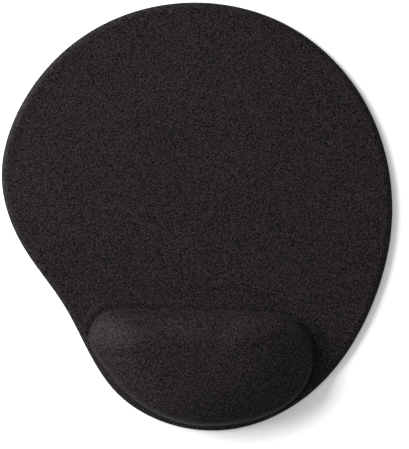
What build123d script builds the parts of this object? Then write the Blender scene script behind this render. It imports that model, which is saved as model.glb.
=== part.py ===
"""Mouse mat with a built-in gel wrist rest: a bonded laminate with a gel pouch near its front edge.

Millimetres. The origin is on the desk at the middle of the mat's bounding box, +Z is up, +Y points
away from the user and +X to the user's right. The layers are built from the desk upwards.
"""

import os
from math import cos, radians, sin

from build123d import *

# Driving dimensions -----------------------------------------------------------------------------
BASE_THICKNESS = 1.2  # non-slip rubber skin
BOND_THICKNESS = 0.1  # hot-melt adhesive film
FOAM_THICKNESS = 1.5
FILM_THICKNESS = 0.2  # each film of the gel pouch
COVER_THICKNESS = 0.7  # knitted cover
OVERALL_HEIGHT = 20.0  # desk to the level top of the wrist rest

EDGE_RADIUS = 2.2  # rounding of the mat's upper edge
HEM_HEIGHT = 0.4  # the cover's lower edge stops this far above the desk
FLANGE_WIDTH = 5.0  # welded rim of the gel pouch, outside the dome
FLANGE_SETBACK = 5.0  # the rim is trimmed this far inside the mat's outline
FIT_GAP = 0.05  # play between neighbouring curved walls

# Outline of the mat: a round mousing area that narrows, through a waist on its left, to the rest.
# Each outline runs anticlockwise and starts where it curves gently.
OUTLINE = [
    (-4.0, 115.0),
    (-58.0, 99.0),
    (-96.0, 57.0),
    (-105.0, 20.0),
    (-93.0, -17.0),
    (-72.0, -47.0),
    (-43.0, -95.0),
    (12.0, -115.0),
    (61.0, -95.0),
    (94.0, -48.0),
    (105.0, 2.0),
    (90.0, 62.0),
    (50.0, 102.0),
]

# Foot of the gel dome: nearly straight at the back, rounded corners, and a front along the outline.
DOME_FOOT = [
    (-41.0, -91.0),
    (-26.0, -103.0),
    (-5.0, -111.0),
    (20.0, -111.0),
    (43.0, -104.0),
    (57.0, -92.0),
    (62.0, -74.0),
    (55.0, -57.0),
    (37.0, -52.0),
    (0.0, -52.0),
    (-36.0, -51.0),
    (-51.0, -54.0),
    (-57.0, -67.0),
    (-52.0, -77.0),
]
CROWN_CENTRE = (2.0, -76.0)  # the dome shrinks towards this point as it rises
CROWN_SCALE = 0.5  # the level top's size, as a share of the foot
DOME_FULLNESS = 1.75  # 2 is a quarter ellipse from foot to top, and less is leaner
DOME_SECTIONS = 7
STATIONS = 32  # places round an outline where an inset curve is pinned

# Levels, from the desk up -----------------------------------------------------------------------
FOAM_BOTTOM = BASE_THICKNESS + BOND_THICKNESS
FOAM_TOP = FOAM_BOTTOM + FOAM_THICKNESS
MAT_TOP = FOAM_TOP + BOND_THICKNESS + COVER_THICKNESS
GEL_BOTTOM = FOAM_TOP + FILM_THICKNESS
FLANGE_TOP = GEL_BOTTOM + FILM_THICKNESS
RIDGE_TOP = FLANGE_TOP + BOND_THICKNESS + COVER_THICKNESS
LINING = COVER_THICKNESS + BOND_THICKNESS

# How far each wall is inset from the finished surface
COVER_INSIDE = COVER_THICKNESS
BOND_OUTSIDE = COVER_INSIDE + FIT_GAP
BOND_INSIDE = BOND_OUTSIDE + BOND_THICKNESS
FILM_OUTSIDE = BOND_INSIDE + FIT_GAP
FILM_INSIDE = FILM_OUTSIDE + FILM_THICKNESS
GEL_OUTSIDE = FILM_INSIDE + FIT_GAP


def inset_points(points, inset):
    """Points round the closed curve through the given ones, moved inwards by inset."""
    curve = Spline(*points, periodic=True, mode=Mode.PRIVATE)
    moved = []
    for i in range(STATIONS):
        place = curve @ (i / STATIONS)
        along = curve % (i / STATIONS)
        moved.append((place.X - along.Y * inset, place.Y + along.X * inset))
    return moved


def plate(points, bottom, top, rounding=0.0):
    """A flat plate inside the curve through the points, with its upper edge rounded."""
    with BuildPart() as flat:
        with BuildSketch(Plane.XY.offset(bottom)):
            with BuildLine():
                Spline(*points, periodic=True)
            make_face()
        extrude(amount=top - bottom)
        if rounding > 0.0:
            fillet(flat.edges().group_by(Axis.Z)[-1], radius=rounding)
    return flat.part


def pouch_rim(inset, bottom, top):
    """The pouch's welded rim and the floor inside it, trimmed where it would reach the mat's edge."""
    rim = plate(inset_points(DOME_FOOT, inset - FLANGE_WIDTH), bottom, top)
    room = plate(inset_points(OUTLINE, inset + FLANGE_SETBACK), bottom, top)
    return rim & room


def dome(inset, root=GEL_BOTTOM):
    """The gel dome, shrinking towards its crown as a superellipse rises; its foot runs down to root."""
    foot = inset_points(DOME_FOOT, inset)
    rise = OVERALL_HEIGHT - inset - GEL_BOTTOM
    power = 2.0 / DOME_FULLNESS
    with BuildPart() as body:
        for k in range(DOME_SECTIONS):
            angle = radians(90.0 * k / (DOME_SECTIONS - 1))
            scale = CROWN_SCALE + (1.0 - CROWN_SCALE) * max(cos(angle), 0.0) ** power
            ring = [
                (
                    CROWN_CENTRE[0] + scale * (x - CROWN_CENTRE[0]),
                    CROWN_CENTRE[1] + scale * (y - CROWN_CENTRE[1]),
                )
                for x, y in foot
            ]
            with BuildSketch(Plane.XY.offset(GEL_BOTTOM + rise * sin(angle) ** power)):
                with BuildLine():
                    Spline(*ring, periodic=True)
                make_face()
        loft()
        if root < GEL_BOTTOM:
            add(plate(foot, root, GEL_BOTTOM))
    return body.part


def envelope(inset, drop, bottom):
    """Everything above bottom that lies inside the finished surface: by inset at curved walls, by drop
    where the mat is level."""
    slab = plate(inset_points(OUTLINE, inset), bottom, MAT_TOP - drop, EDGE_RADIUS - inset)
    ridge = pouch_rim(inset, FOAM_BOTTOM, RIDGE_TOP - drop)
    return slab + ridge + dome(inset, FOAM_BOTTOM)


os.makedirs("parts", exist_ok=True)

# Non-slip base ----------------------------------------------------------------------------------
with BuildPart() as nonslip_base:
    add(plate(inset_points(OUTLINE, BOND_OUTSIDE), 0.0, BASE_THICKNESS))
nonslip_base.part.label = "nonslip_base"
export_step(nonslip_base.part, "parts/nonslip_base.step")

with BuildPart() as base_bond_film:
    add(plate(inset_points(OUTLINE, BOND_OUTSIDE), BASE_THICKNESS, FOAM_BOTTOM))
base_bond_film.part.label = "base_bond_film"
export_step(base_bond_film.part, "parts/base_bond_film.step")

# Foam core --------------------------------------------------------------------------------------
with BuildPart() as foam_core:
    add(plate(inset_points(OUTLINE, FILM_OUTSIDE), FOAM_BOTTOM, FOAM_TOP, EDGE_RADIUS - FILM_OUTSIDE))
foam_core.part.label = "foam_core"
export_step(foam_core.part, "parts/foam_core.step")

# Gel pouch: a flat film below, a formed film above, and the gel between them ---------------------
with BuildPart() as gel_base_film:
    add(pouch_rim(FILM_OUTSIDE, FOAM_TOP, GEL_BOTTOM))
    add(plate(inset_points(DOME_FOOT, FILM_OUTSIDE), FOAM_TOP, GEL_BOTTOM))
gel_base_film.part.label = "gel_base_film"
export_step(gel_base_film.part, "parts/gel_base_film.step")

with BuildPart() as gel_core:
    add(dome(GEL_OUTSIDE))
gel_core.part.label = "gel_core"
export_step(gel_core.part, "parts/gel_core.step")

with BuildPart() as gel_top_film:
    add(pouch_rim(FILM_OUTSIDE, GEL_BOTTOM, FLANGE_TOP))
    add(dome(FILM_OUTSIDE))
    add(dome(FILM_INSIDE), mode=Mode.SUBTRACT)
gel_top_film.part.label = "gel_top_film"
export_step(gel_top_film.part, "parts/gel_top_film.step")

# Cover and its adhesive, wrapped over the dome and down the mat's edge ----------------------------
with BuildPart() as cover_bond_film:
    add(envelope(BOND_OUTSIDE, COVER_THICKNESS, FOAM_BOTTOM))
    add(envelope(BOND_INSIDE, LINING, FOAM_BOTTOM), mode=Mode.SUBTRACT)
cover_bond_film.part.label = "cover_bond_film"
export_step(cover_bond_film.part, "parts/cover_bond_film.step")

with BuildPart() as cover_fabric:
    add(envelope(0.0, 0.0, HEM_HEIGHT))
    add(envelope(COVER_INSIDE, COVER_THICKNESS, HEM_HEIGHT), mode=Mode.SUBTRACT)
cover_fabric.part.label = "cover_fabric"
export_step(cover_fabric.part, "parts/cover_fabric.step")
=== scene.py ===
"""Looks for the mouse mat with a built-in gel wrist rest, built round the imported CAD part.

Lengths are in millimetres until a mesh is made, and in metres from there on. The cover's upper surface
is made first, as rings of points round the dome's crown, and the layers under it follow it.
"""

import bpy
import numpy as np
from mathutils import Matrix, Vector, kdtree


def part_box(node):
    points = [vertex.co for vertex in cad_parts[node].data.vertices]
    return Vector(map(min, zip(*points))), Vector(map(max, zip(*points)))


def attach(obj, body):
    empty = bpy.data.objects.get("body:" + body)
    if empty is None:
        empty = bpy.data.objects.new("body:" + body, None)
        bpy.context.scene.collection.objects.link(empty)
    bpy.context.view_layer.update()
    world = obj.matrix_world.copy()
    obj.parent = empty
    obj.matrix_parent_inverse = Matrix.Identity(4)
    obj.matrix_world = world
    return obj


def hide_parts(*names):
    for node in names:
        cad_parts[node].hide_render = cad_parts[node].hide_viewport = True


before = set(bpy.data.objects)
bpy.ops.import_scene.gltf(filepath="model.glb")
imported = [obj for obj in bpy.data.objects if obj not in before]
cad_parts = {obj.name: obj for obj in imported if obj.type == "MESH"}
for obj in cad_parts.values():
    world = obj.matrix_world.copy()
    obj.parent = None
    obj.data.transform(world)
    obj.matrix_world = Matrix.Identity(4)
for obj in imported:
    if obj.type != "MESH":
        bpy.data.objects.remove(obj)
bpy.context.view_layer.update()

MM = 0.001

# The two outlines, as in part.py, run anticlockwise -------------------------------------------------
OUTLINE = [
    (-4.0, 115.0),
    (-58.0, 99.0),
    (-96.0, 57.0),
    (-105.0, 20.0),
    (-93.0, -17.0),
    (-72.0, -47.0),
    (-43.0, -95.0),
    (12.0, -115.0),
    (61.0, -95.0),
    (94.0, -48.0),
    (105.0, 2.0),
    (90.0, 62.0),
    (50.0, 102.0),
]
DOME_FOOT = [
    (-41.0, -91.0),
    (-26.0, -103.0),
    (-5.0, -111.0),
    (20.0, -111.0),
    (43.0, -104.0),
    (57.0, -92.0),
    (62.0, -74.0),
    (55.0, -57.0),
    (37.0, -52.0),
    (0.0, -52.0),
    (-36.0, -51.0),
    (-51.0, -54.0),
    (-57.0, -67.0),
    (-52.0, -77.0),
]
CROWN_CENTRE = np.array((2.0, -76.0))

# Depths under the cover's upper surface, and levels over the desk
COVER_THICKNESS = 0.7
BOND_DEPTH = 0.8  # underside of the adhesive
FILM_DEPTH = 0.98  # underside of the pouch's upper film
GEL_DEPTH = 1.0
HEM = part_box("cover_fabric")[0].z / MM
CROWN_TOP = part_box("cover_fabric")[1].z / MM
MAT_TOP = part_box("foam_core")[1].z / MM + BOND_DEPTH
GEL_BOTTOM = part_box("gel_core")[0].z / MM

# The mat's rounded edge
EDGE_WIDTH = 3.8  # in plan
EDGE_SPRING = 1.3  # height where the rounding starts
EDGE_FULLNESS = 2.2  # 2 is a quarter ellipse, and more is squarer
BEAD_RISE, BEAD_PLACE, BEAD_WIDTH = 0.14, 3.2, 1.4  # slight swelling of the cover inside the edge

# The cover's relief round the dome: a step over the pouch's weld and a valley beside the foot
WELD_REACH = 6.2  # from the foot to the weld's outer edge
WELD_SOFTNESS = 0.6
VALLEY_PLACE = 0.8
CALM_RIM = 3.0  # no relief within this of the mat's edge, and full relief from twice as far
FOOT_FADE = 0.8  # how fast the foot's own dip dies out there

CROWN_BLEND = 2.2  # how gradually a flank turns level, as a height

# Density of the rings and of the points round each of them
STATIONS = 480
FLANK_RINGS, WALL_RINGS, TUCK_RINGS = 26, 13, 5
DOME_RINGS = FLANK_RINGS + WALL_RINGS + TUCK_RINGS
MAT_RINGS = 25  # between the close rings at the foot and those at the rim
# Distances of the rings outside the dome's foot, and inside the mat's edge, closest where it bends most
FOOT_STEPS = [0.06, 0.15, 0.3, 0.5, 0.75, 1.0, 1.3, 1.8, 2.6, 3.4, 4.2, 4.8, 5.4, 6.0, 6.6, 7.4, 8.6]
RIM_STEPS = [6.0, 4.8, 4.0, 3.4, 2.9, 2.5, 2.1, 1.7, 1.35, 1.05, 0.8, 0.55, 0.35, 0.2, 0.08]
STEP_SHARE = 0.4  # most of the way from foot to edge that either list of steps may take
WELD_RINGS = 12  # the steps from the foot that the pouch's upper film covers
EDGE_WALL = [(0.0, EDGE_SPRING), (0.02, 1.0), (0.06, 0.8), (0.15, 0.6), (0.3, HEM)]  # (inset, height)

SPLINE_STEPS = 200  # samples between two points of an outline
OUTLINE_POINTS, FOOT_POINTS = 6000, 3000  # of the fine curves that distances are measured from


# Plan curves ----------------------------------------------------------------------------------------
def periodic_spline(points, count):
    """A closed cubic spline through the points, sampled evenly along its length."""
    p = np.array(points, float)
    n = len(p)
    following = np.roll(p, -1, axis=0)
    h = np.linalg.norm(following - p, axis=1)
    before = np.roll(h, 1)
    a = np.diag(2 * (before + h))
    for i in range(n):
        a[i, (i - 1) % n] += before[i]
        a[i, (i + 1) % n] += h[i]
    chord = (following - p) / h[:, None]
    m = np.linalg.solve(a, 6 * (chord - np.roll(chord, 1, axis=0)))
    dense = []
    for i in range(n):
        t = np.linspace(0, 1, SPLINE_STEPS, endpoint=False)[:, None] * h[i]
        mi, mj = m[i], m[(i + 1) % n]
        start = p[i] + chord[i] * t - h[i] * t * (2 * mi + mj) / 6
        dense.append(start + mi * t**2 / 2 + (mj - mi) * t**3 / (6 * h[i]))
    dense = np.vstack(dense)
    dense = np.vstack([dense, dense[:1]])
    along = np.r_[0, np.cumsum(np.linalg.norm(np.diff(dense, axis=0), axis=1))]
    want = np.linspace(0, along[-1], count, endpoint=False)
    return np.column_stack([np.interp(want, along, dense[:, k]) for k in range(2)])


def at_angles(curve, angles):
    """Points of a closed curve at the given polar angles round the crown centre."""
    rel = curve - CROWN_CENTRE
    theta = np.unwrap(np.arctan2(rel[:, 1], rel[:, 0]))
    start = theta[0]
    theta = np.r_[theta, start + 2 * np.pi]
    closed = np.vstack([curve, curve[:1]])
    want = (angles - start) % (2 * np.pi) + start
    return np.column_stack([np.interp(want, theta, closed[:, k]) for k in range(2)])


def distances(points, curve):
    """Distance from each point to a closed curve of short chords."""
    tree = kdtree.KDTree(len(curve))
    for i, (x, y) in enumerate(curve):
        tree.insert((x, y, 0), i)
    tree.balance()
    near = np.array([tree.find((x, y, 0))[1] for x, y in points])
    start = curve[near]
    shortest = np.full(len(points), np.inf)
    for step in (-1, 1):
        along = curve[(near + step) % len(curve)] - start
        share = np.sum((points - start) * along, axis=1) / np.sum(along**2, axis=1)
        gap = points - start - along * np.clip(share, 0, 1)[:, None]
        shortest = np.minimum(shortest, np.linalg.norm(gap, axis=1))
    return shortest


def bell(x, centre, width):
    """1 at the centre, dying out on both sides of it."""
    return np.exp(-(((x - centre) / width) ** 2))


outline = periodic_spline(OUTLINE, OUTLINE_POINTS)
foot_curve = periodic_spline(DOME_FOOT, FOOT_POINTS)
edge = periodic_spline(OUTLINE, STATIONS)
angles = np.arctan2(edge[:, 1] - CROWN_CENTRE[1], edge[:, 0] - CROWN_CENTRE[0])
foot = at_angles(foot_curve, angles)
span = np.linalg.norm(edge - foot, axis=1)
reach = np.linalg.norm(foot - CROWN_CENTRE, axis=1)

# Sizes that differ round the dome: one number per station, by its direction from the crown ----------
to_left = np.clip(-np.cos(angles), 0, 1) ** 2
to_right = np.clip(np.cos(angles), 0, 1) ** 2
to_back = np.clip(np.sin(angles), 0, 1) ** 2
to_front = np.clip(-np.sin(angles), 0, 1) ** 2
corner = bell(angles, np.radians(148), np.radians(26))  # the dome's left back corner


def by_side(left, right, back, front):
    """A size that goes smoothly from one side's value to the next one's."""
    return left * to_left + right * to_right + back * to_back + front * to_front


# The gel bulges over its foot as a steep rounded wall, and then rises to the crown as a long flank.
slope = by_side(0.60, 0.36, 0.85, 0.60) - 0.16 * corner  # of the flank
wall = by_side(2.8, 4.2, 4.5, 5.5)  # height of the steep part
wall_width = by_side(4.2, 2.6, 4.6, 3.4)
bulge = 0.2 + 2.4 * to_right**2 + 0.5 * to_front  # height of the widest ring over the foot
tuck = 0.05 + 1.8 * to_right**2 + 0.2 * to_front  # how far the foot hides under the bulge
fillet = by_side(1.8, 0.3, 2.4, 2.0)  # concave radius at the foot
crest = 0.32 + 0.40 * corner  # rise of the cover over the pouch's weld
valley = by_side(0.30, 0.65, 0.10, 0.0) + 0.50 * corner  # its dip beside the dome
valley_width = by_side(3.0, 1.7, 2.5, 2.0) + 1.5 * corner


# Heights of the cover's upper surface ---------------------------------------------------------------
def mat_height(d):
    """Height of the mat at distance d inside its outline."""
    t = np.clip(d / EDGE_WIDTH, 0, 1)
    rise = (1 - (1 - t) ** EDGE_FULLNESS) ** (1 / EDGE_FULLNESS)
    bead = BEAD_RISE * (1 - to_front) * bell(d, BEAD_PLACE, BEAD_WIDTH)
    return EDGE_SPRING + (MAT_TOP - EDGE_SPRING) * rise + bead * t


def relief(e):
    """The step over the pouch's weld less the valley, at distance e outside the dome's foot."""
    step = crest / (1 + np.exp((e - WELD_REACH) / WELD_SOFTNESS))
    return step - valley * bell(e, VALLEY_PLACE, valley_width)


def fillet_height(e):
    """Rise of the concave corner at distance e outside the foot."""
    t = np.clip(1 - e / fillet, 0, 1)
    return fillet * (1 - np.sqrt(1 - t**2))


def mat_ring(away):
    """Plan points at a distance outside the dome's foot, one per station, and their heights."""
    plan = foot + (edge - foot) * (away / span)[:, None]
    d = distances(plan, outline)
    e = distances(plan, foot_curve) * (away > 0)
    share = np.clip((d - CALM_RIM) / CALM_RIM, 0, 1)
    weld = relief(e) * share + relief(0.0) * (1 - share) * np.exp(-e / FOOT_FADE)
    return plan, mat_height(d) + weld + fillet_height(e)


foot_top = mat_ring(-tuck)[1]
dome_rise = CROWN_TOP - foot_top - bulge


def flank_height(u):
    """A straight flank that turns level near the top."""
    over = slope * u - dome_rise + wall
    return slope * u - CROWN_BLEND * np.logaddexp(0, over / CROWN_BLEND)


def dome_height(u):
    """Rise of the dome above its widest ring, at plan distance u inside it."""
    steep = np.sqrt(1 - (1 - np.clip(u / wall_width, 0, 1)) ** 2)
    return wall * steep + (dome_rise - wall) * flank_height(u) / flank_height(reach)


# The rings, from the crown outwards, each as plan points and heights --------------------------------
def dome_ring(u, height):
    """The ring at plan distance u inside the dome's widest one, at a height over its foot."""
    return foot + (CROWN_CENTRE - foot) * (u / reach)[:, None], foot_top + height


rings = []
for share in np.linspace(0.06, 0.94, FLANK_RINGS):
    u = wall_width + (reach - wall_width) * (1 - share)
    rings.append(dome_ring(u, bulge + dome_height(u)))
for k in range(WALL_RINGS):
    u = wall_width * (1 - np.sin(np.pi / 2 * k / (WALL_RINGS - 1)))
    rings.append(dome_ring(u, bulge + dome_height(u)))
for k in range(1, TUCK_RINGS + 1):
    turn = np.pi / 2 * k / TUCK_RINGS
    rings.append(dome_ring(tuck * (1 - np.cos(turn)), bulge * (1 - np.sin(turn))))

inner = [s * np.minimum(1, STEP_SHARE * span / FOOT_STEPS[-1]) - tuck for s in FOOT_STEPS]
outer = [span - s * np.minimum(1, STEP_SHARE * span / RIM_STEPS[0]) for s in RIM_STEPS]
gap = (outer[0] - inner[-1]) / (MAT_RINGS + 1)
middle = [inner[-1] + gap * k for k in range(1, MAT_RINGS + 1)]
rings += [mat_ring(away) for away in inner + middle + outer]
LEVEL_RINGS = len(rings)  # all but the upright wall at the edge

tangent = np.roll(edge, -1, axis=0) - np.roll(edge, 1, axis=0)
tangent /= np.linalg.norm(tangent, axis=1)[:, None]
outward = np.column_stack([tangent[:, 1], -tangent[:, 0]])
rings += [(edge - outward * inset, np.full(STATIONS, z)) for inset, z in EDGE_WALL]


# The layers -----------------------------------------------------------------------------------------
def grid_faces(count, first=0, flip=False):
    """Quads between the rings, and the fan at the crown, whose vertex follows the rings."""
    faces = []
    for r in range(count - 1):
        for i in range(STATIONS):
            j = (i + 1) % STATIONS
            a, b = first + r * STATIONS, first + (r + 1) * STATIONS
            faces.append((a + i, b + i, b + j, a + j))
    centre = first + count * STATIONS
    faces += [(centre, first + i, first + (i + 1) % STATIONS) for i in range(STATIONS)]
    return [face[::-1] for face in faces] if flip else faces


def upper_surface():
    """Points and outward normals of the cover's upper surface, in ring order, then the crown."""
    points = [np.column_stack([plan, z]) for plan, z in rings] + [[*CROWN_CENTRE, CROWN_TOP]]
    points = np.vstack(points)
    faces = grid_faces(len(rings))
    halves = [face[:3] for face in faces]
    halves += [(face[0], face[2], face[3]) for face in faces if len(face) == 4]
    triangles = np.array(halves)
    a, b, c = (points[triangles[:, k]] for k in range(3))
    leaning = np.cross(b - a, c - a)  # weighs each face by its area
    normals = np.zeros_like(points)
    for k in range(3):
        np.add.at(normals, triangles[:, k], leaning)
    return points, normals / np.linalg.norm(normals, axis=1)[:, None]


surface, normals = upper_surface()


def at_depth(depth, count):
    """The surface at a depth under the cover's top: its first rings, then the crown."""
    keep = np.r_[np.arange(count * STATIONS), len(surface) - 1]
    return surface[keep] - normals[keep] * depth


def new_piece(name, points, faces):
    """A smooth-shaded mesh piece from points in millimetres."""
    mesh = bpy.data.meshes.new(name)
    mesh.from_pydata([tuple(p) for p in points * MM], [], faces)
    mesh.update()
    mesh.shade_smooth()
    obj = bpy.data.objects.new(name, mesh)
    bpy.context.scene.collection.objects.link(obj)
    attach(obj, "root")
    return obj


def layer(name, top, bottom, count):
    """A thin closed sheet between two depths, reaching out to the given number of rings."""
    upper, lower = at_depth(top, count), at_depth(bottom, count)
    last = (count - 1) * STATIONS
    faces = grid_faces(count) + grid_faces(count, len(upper), flip=True)
    for i in range(STATIONS):
        j = (i + 1) % STATIONS
        faces.append((last + i, len(upper) + last + i, len(upper) + last + j, last + j))
    return new_piece(name, np.vstack([upper, lower]), faces)


def pad(name, depth, bottom):
    """The gel: the dome under its film, with an upright foot and a flat underside."""
    upper = at_depth(depth, DOME_RINGS)
    first, last = len(upper), (DOME_RINGS - 1) * STATIONS
    foot_ring = upper[last : last + STATIONS].copy()
    foot_ring[:, 2] = bottom
    lower = np.vstack([foot_ring, [(*CROWN_CENTRE, bottom)]])
    faces = grid_faces(DOME_RINGS)
    for i in range(STATIONS):
        j = (i + 1) % STATIONS
        faces.append((last + i, first + i, first + j, last + j))
        faces.append((first + STATIONS, first + j, first + i))
    return new_piece(name, np.vstack([upper, lower]), faces)


cover = layer("fabric_cover", 0, COVER_THICKNESS, len(rings))
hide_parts("cover_fabric")

cover_glue = layer("cover_adhesive", COVER_THICKNESS, BOND_DEPTH, LEVEL_RINGS)
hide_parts("cover_bond_film")

pouch_top = layer("pouch_upper_film", BOND_DEPTH, FILM_DEPTH, DOME_RINGS + WELD_RINGS)
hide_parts("gel_top_film")

gel = pad("gel_pad", GEL_DEPTH, GEL_BOTTOM)
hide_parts("gel_core")


# Materials ------------------------------------------------------------------------------------------
def new_material(name):
    mat = bpy.data.materials.new(name)
    mat.use_nodes = True
    nodes, links = mat.node_tree.nodes, mat.node_tree.links
    return mat, nodes, links, nodes["Principled BSDF"]


def noise_source(nodes, links, scale, detail=2.0, kind="ShaderNodeTexNoise"):
    """A noise or cell texture whose grid is turned, so that no level face lies along its planes."""
    coords = nodes.new("ShaderNodeTexCoord")
    turn = nodes.new("ShaderNodeMapping")
    turn.inputs["Rotation"].default_value = (0.6, 0.4, 0.9)
    links.new(coords.outputs["Object"], turn.inputs["Vector"])
    source = nodes.new(kind)
    source.inputs["Scale"].default_value = scale
    if kind == "ShaderNodeTexNoise":
        source.inputs["Detail"].default_value = detail
    links.new(turn.outputs["Vector"], source.inputs["Vector"])
    return source.outputs[0]


def cell_source(nodes, links, scale):
    return noise_source(nodes, links, scale, kind="ShaderNodeTexVoronoi")


def ramp_between(nodes, links, source, start, end):
    """A colour ramp from one (position, colour) pair to another."""
    ramp = nodes.new("ShaderNodeValToRGB")
    for element, (position, color) in zip(ramp.color_ramp.elements, (start, end)):
        element.position = position
        element.color = (*color, 1)
    links.new(source, ramp.inputs["Fac"])
    return ramp.outputs["Color"]


def grey(level):
    return (level, level, level)


def add_bump(nodes, links, bsdf, source, strength, distance):
    bump = nodes.new("ShaderNodeBump")
    bump.inputs["Strength"].default_value = strength
    bump.inputs["Distance"].default_value = distance
    links.new(source, bump.inputs["Height"])
    links.new(bump.outputs["Normal"], bsdf.inputs["Normal"])


def black_knit():
    """Matt black polyester jersey: fine speckle of the stitches, and a slow unevenness of the dye."""
    mat, nodes, links, bsdf = new_material("black_knit")
    stitches = noise_source(nodes, links, scale=1500, detail=1.0)
    dye = noise_source(nodes, links, scale=30, detail=3.0)
    yarn_shadow, yarn_top = (0.0010, 0.0007, 0.0008), (0.024, 0.0197, 0.0204)
    speckle = ramp_between(nodes, links, stitches, (0.41, yarn_shadow), (0.62, yarn_top))
    cloud = ramp_between(nodes, links, dye, (0.3, grey(0.9)), (0.7, grey(1)))
    tone = nodes.new("ShaderNodeMix")
    tone.data_type = "RGBA"
    tone.blend_type = "MULTIPLY"
    tone.inputs["Factor"].default_value = 1.0
    links.new(speckle, tone.inputs["A"])
    links.new(cloud, tone.inputs["B"])
    links.new(tone.outputs["Result"], bsdf.inputs["Base Color"])
    add_bump(nodes, links, bsdf, stitches, strength=0.4, distance=0.0002)
    bsdf.inputs["Roughness"].default_value = 0.6
    bsdf.inputs["Specular IOR Level"].default_value = 0.05
    bsdf.inputs["Sheen Weight"].default_value = 0.01
    bsdf.inputs["Sheen Roughness"].default_value = 0.3
    bsdf.inputs["Sheen Tint"].default_value = (1.0, 0.92, 0.9, 1)
    return mat


def base_rubber():
    """Matt black rubber skin with the shallow cells of a non-slip underside."""
    mat, nodes, links, bsdf = new_material("base_rubber")
    cells = cell_source(nodes, links, scale=420)
    fine = noise_source(nodes, links, scale=2200)
    cell_middle, cell_wall = (0.022, 0.022, 0.023), (0.009, 0.009, 0.0095)
    color = ramp_between(nodes, links, cells, (0.0, cell_middle), (0.7, cell_wall))
    links.new(color, bsdf.inputs["Base Color"])
    rough = ramp_between(nodes, links, fine, (0.3, grey(0.62)), (0.7, grey(0.85)))
    links.new(rough, bsdf.inputs["Roughness"])
    add_bump(nodes, links, bsdf, cells, strength=0.7, distance=0.0004)
    bsdf.inputs["Specular IOR Level"].default_value = 0.35
    return mat


def closed_cell_foam():
    """Dull black foam with a fine cell pattern."""
    mat, nodes, links, bsdf = new_material("closed_cell_foam")
    cells = cell_source(nodes, links, scale=1300)
    cell_middle, cell_wall = (0.03, 0.03, 0.031), (0.075, 0.075, 0.078)
    color = ramp_between(nodes, links, cells, (0.0, cell_middle), (0.6, cell_wall))
    links.new(color, bsdf.inputs["Base Color"])
    add_bump(nodes, links, bsdf, cells, strength=0.6, distance=0.0003)
    bsdf.inputs["Roughness"].default_value = 0.9
    return mat


def thin_film(name, light, dark, roughness):
    """A thin plastic film, with slow variations of tone and a faint ripple."""
    mat, nodes, links, bsdf = new_material(name)
    ripple = noise_source(nodes, links, scale=90, detail=3.0)
    color = ramp_between(nodes, links, ripple, (0.35, dark), (0.65, light))
    links.new(color, bsdf.inputs["Base Color"])
    add_bump(nodes, links, bsdf, ripple, strength=0.2, distance=0.0002)
    bsdf.inputs["Roughness"].default_value = roughness
    return mat


def soft_gel():
    """Clear grey gel with faint streaks from casting."""
    mat, nodes, links, bsdf = new_material("soft_gel")
    streaks = noise_source(nodes, links, scale=60, detail=4.0)
    color = ramp_between(nodes, links, streaks, (0.3, (0.16, 0.18, 0.2)), (0.7, (0.24, 0.26, 0.28)))
    links.new(color, bsdf.inputs["Base Color"])
    add_bump(nodes, links, bsdf, streaks, strength=0.1, distance=0.0003)
    bsdf.inputs["Roughness"].default_value = 0.18
    bsdf.inputs["Subsurface Weight"].default_value = 0.4
    bsdf.inputs["Subsurface Scale"].default_value = 0.004
    return mat


def wear(obj, mat):
    """Put one material on a piece, or on every slot of a CAD node."""
    if not obj.material_slots:
        obj.data.materials.append(mat)
    for slot in obj.material_slots:
        slot.material = mat


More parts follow.
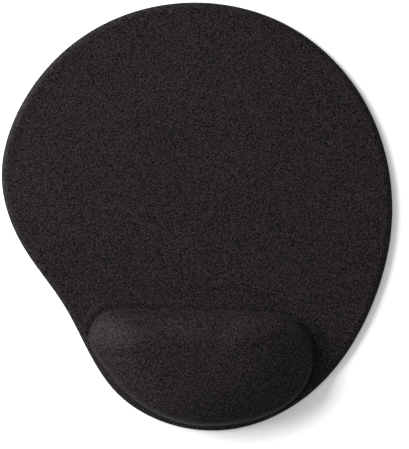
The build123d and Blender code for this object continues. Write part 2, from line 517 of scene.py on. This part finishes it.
adhesive = thin_film("hot_melt_adhesive", (0.5, 0.46, 0.36), (0.38, 0.34, 0.26), roughness=0.45)
pouch_film = thin_film("pouch_film", (0.3, 0.31, 0.33), (0.22, 0.23, 0.25), roughness=0.25)
wear(cover, black_knit())
wear(cover_glue, adhesive)
wear(pouch_top, pouch_film)
wear(gel, soft_gel())
wear(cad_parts["nonslip_base"], base_rubber())
wear(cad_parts["base_bond_film"], adhesive)
wear(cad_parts["foam_core"], closed_cell_foam())
wear(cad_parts["gel_base_film"], pouch_film)

# Floor, light and camera, in metres -----------------------------------------------------------------
FLOOR_SIZE = 60
WORLD_STRENGTH = 0.6
KEY_PLACE, KEY_AIM = Vector((-1.0, 0.42, 0.46)), Vector((0, -0.02, 0))  # low, from the left and behind
KEY_SIZE = (1.2, 0.7)
KEY_WATTS = 45
VIEW_PLACE = (0.00405, -0.00433, 1.102)
VIEW_DISTANCE = 1.1  # down to the mat's surface
VIEW_SPAN = 0.2412  # of that surface, along the longer side of the image
SENSOR = 36  # millimetres

bpy.ops.mesh.primitive_plane_add(size=FLOOR_SIZE)
floor = bpy.context.object
floor.name = "floor"
sweep, _, _, sweep_bsdf = new_material("white_sweep")
sweep_bsdf.inputs["Base Color"].default_value = (*grey(0.95), 1)
sweep_bsdf.inputs["Roughness"].default_value = 1.0
sweep_bsdf.inputs["Specular IOR Level"].default_value = 0.2
wear(floor, sweep)

world = bpy.data.worlds.new("studio")
bpy.context.scene.world = world
world.use_nodes = True
background = world.node_tree.nodes["Background"]
background.inputs["Color"].default_value = (1, 1, 1, 1)
background.inputs["Strength"].default_value = WORLD_STRENGTH

softbox = bpy.data.lights.new("key", "AREA")
softbox.shape = "RECTANGLE"
softbox.size, softbox.size_y = KEY_SIZE
softbox.energy = KEY_WATTS
lamp = bpy.data.objects.new("key", softbox)
bpy.context.scene.collection.objects.link(lamp)
lamp.location = KEY_PLACE
lamp.visible_camera = False
lamp.rotation_mode = "QUATERNION"
lamp.rotation_quaternion = (KEY_AIM - KEY_PLACE).to_track_quat("-Z", "Y")

camera = bpy.data.objects.new("camera", bpy.data.cameras.new("camera"))
bpy.context.scene.collection.objects.link(camera)
camera.location = VIEW_PLACE
camera.data.sensor_width = SENSOR
camera.data.lens = SENSOR * VIEW_DISTANCE / VIEW_SPAN
bpy.context.scene.camera = camera
bpy.context.scene.view_settings.view_transform = "Standard"
